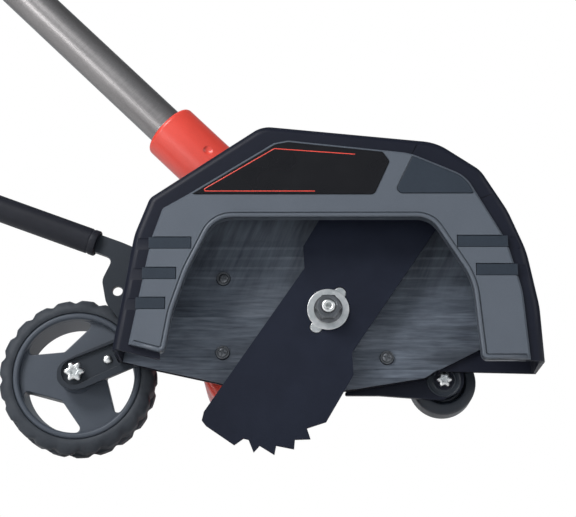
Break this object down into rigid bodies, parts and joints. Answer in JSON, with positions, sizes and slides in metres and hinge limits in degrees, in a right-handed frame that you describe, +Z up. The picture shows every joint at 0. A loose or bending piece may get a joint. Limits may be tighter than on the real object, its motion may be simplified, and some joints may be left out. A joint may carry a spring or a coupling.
{
  "type": "cordless lawn edger",
  "caption": "Lawn edger with a vertical blade in an open guard, gear case and motor, wheel on a depth lever, roller, telescopic tube, tilting loop handle and battery handle.",
  "frame": {"origin": "on the ground, under the middle of the machine's overall box; the lowest point is the blade's tip", "axes": "+X runs from the battery handle towards the guard, +Y from the blade's cover to the motor, +Z up"},
  "size_m": [0.8422, 0.1585, 0.8156],
  "materials": {
    "black_shell": "black moulded plastic with a fine grain",
    "grey_cover": "dark grey moulded plastic, satin",
    "label_black": "black sheet with a thin red border",
    "panel_grey": "dark slate plastic",
    "liner_black": "black plastic with level ridges",
    "blade_black": "black coated steel",
    "steel": "turned zinc-bright steel",
    "dark_steel": "blackened steel",
    "red_plastic": "red moulded plastic, satin",
    "aluminium_tube": "drawn grey tube",
    "rubber": "black soft grip rubber",
    "tyre": "black moulded tyre with lugs",
    "wheel_black": "black moulded plastic",
    "switch_grey": "grey electrical plastic"
  },
  "bodies": {
    "base": {"guard_shell": "black_shell", "cover_plate": "grey_cover", "label_plate": "label_black", "side_panel": "panel_grey", "back_plate": "liner_black", "plate_screw_1": "dark_steel", "plate_screw_2": "dark_steel", "plate_screw_3": "dark_steel", "plate_screw_4": "dark_steel", "front_bearing": "steel", "rear_bearing": "steel", "gear_case": "black_shell", "gear_case_lid": "black_shell", "case_screw_1": "dark_steel", "case_screw_2": "dark_steel", "motor_can": "steel", "motor_cover": "red_plastic", "motor_end_cap": "black_shell", "tube_collar": "red_plastic", "lower_tube": "aluminium_tube", "tube_clamp": "black_shell", "clamp_pin": "steel", "pivot_bolt": "steel", "pivot_nut": "steel", "roller_arm": "black_shell", "roller_pin": "steel"},
    "cutter": {"spindle": "steel", "spindle_gear": "steel", "inner_flange": "steel", "blade": "blade_black", "outer_washer": "steel", "flange_nut": "dark_steel"},
    "rotor": {"motor_rotor": "dark_steel", "motor_pinion": "steel"},
    "depth_arm": {"depth_lever": "black_shell", "lever_grip": "rubber", "wheel_axle": "steel", "axle_nut": "steel"},
    "rear_wheel": {"wheel_rim": "wheel_black", "wheel_tyre": "tyre"},
    "roller": {"front_roller": "wheel_black"},
    "handle_tube": {"upper_tube": "aluminium_tube", "loop_bracket": "black_shell", "handle_shell_left": "black_shell", "handle_shell_right": "black_shell", "handle_screw_1": "dark_steel", "handle_screw_2": "dark_steel", "soft_grip": "rubber", "switch_body": "switch_grey", "terminal_block": "switch_grey", "trigger_spring": "steel", "lock_spring": "steel"},
    "loop": {"loop_handle": "black_shell", "loop_bolt": "dark_steel"},
    "knob": {"loop_knob": "black_shell"},
    "tube_lever": {"clamp_lever": "red_plastic"},
    "trigger_body": {"trigger": "red_plastic"},
    "lock_body": {"lock_button": "red_plastic"},
    "battery": {"battery_pack": "black_shell"},
    "latch": {"battery_latch": "red_plastic"}
  },
  "joints": [
    {"name": "spindle_turn", "type": "hinge", "parent": "base", "child": "cutter", "pos_m": [0.3011, -0.0399, 0.0829], "axis": [0, 1, 0], "continuous": true},
    {"name": "motor_turn", "type": "hinge", "parent": "base", "child": "rotor", "pos_m": [0.26606, -0.0399, 0.06788], "axis": [0, 1, 0], "continuous": true},
    {"name": "depth_adjust", "type": "hinge", "parent": "base", "child": "depth_arm", "pos_m": [0.1931, -0.0213, 0.0729], "axis": [0, -1, 0], "range_deg": [-10, 25]},
    {"name": "wheel_turn", "type": "hinge", "parent": "depth_arm", "child": "rear_wheel", "pos_m": [0.1547, -0.0119, 0.051], "axis": [0, 1, 0], "continuous": true},
    {"name": "roller_turn", "type": "hinge", "parent": "base", "child": "roller", "pos_m": [0.3686, -0.0134, 0.0469], "axis": [0, 1, 0], "continuous": true},
    {"name": "telescope", "type": "slide", "parent": "base", "child": "handle_tube", "axis": [-0.7157, 0, 0.6984], "range_m": [0, 0.12]},
    {"name": "clamp_open", "type": "hinge", "parent": "base", "child": "tube_lever", "pos_m": [-0.02327, 0.0001, 0.39482], "axis": [0, -1, 0], "range_deg": [0, 100]},
    {"name": "loop_tilt", "type": "hinge", "parent": "handle_tube", "child": "loop", "pos_m": [-0.11441, 0.0001, 0.56202], "axis": [0, 1, 0], "range_deg": [-45, 45]},
    {"name": "knob_turn", "type": "hinge", "parent": "loop", "child": "knob", "pos_m": [-0.11441, 0.0001, 0.56202], "axis": [0, 1, 0], "continuous": true},
    {"name": "trigger_press", "type": "hinge", "parent": "handle_tube", "child": "trigger_body", "pos_m": [-0.23039, 0.0001, 0.62071], "axis": [0, 1, 0], "range_deg": [0, 12], "stiffness_Nm_per_rad": 1, "springref_deg": -2.86, "deforming": ["trigger_spring"]},
    {"name": "lock_press", "type": "slide", "parent": "handle_tube", "child": "lock_body", "axis": [-0.6984, 0, -0.7157], "range_m": [0, 0.003], "stiffness_N_per_m": 600, "springref_m": -0.001, "deforming": ["lock_spring"]},
    {"name": "battery_slide", "type": "slide", "parent": "handle_tube", "child": "battery", "axis": [0.6984, 0, 0.7157], "range_m": [0, 0.09]},
    {"name": "latch_press", "type": "slide", "parent": "battery", "child": "latch", "axis": [-0.6984, 0, -0.7157], "range_m": [0, 0.003], "stiffness_N_per_m": 600, "springref_m": -0.001}
  ],
  "couplings": [
    {"joint": "motor_turn", "follows": "spindle_turn", "ratio": -4.0833}
  ]
}
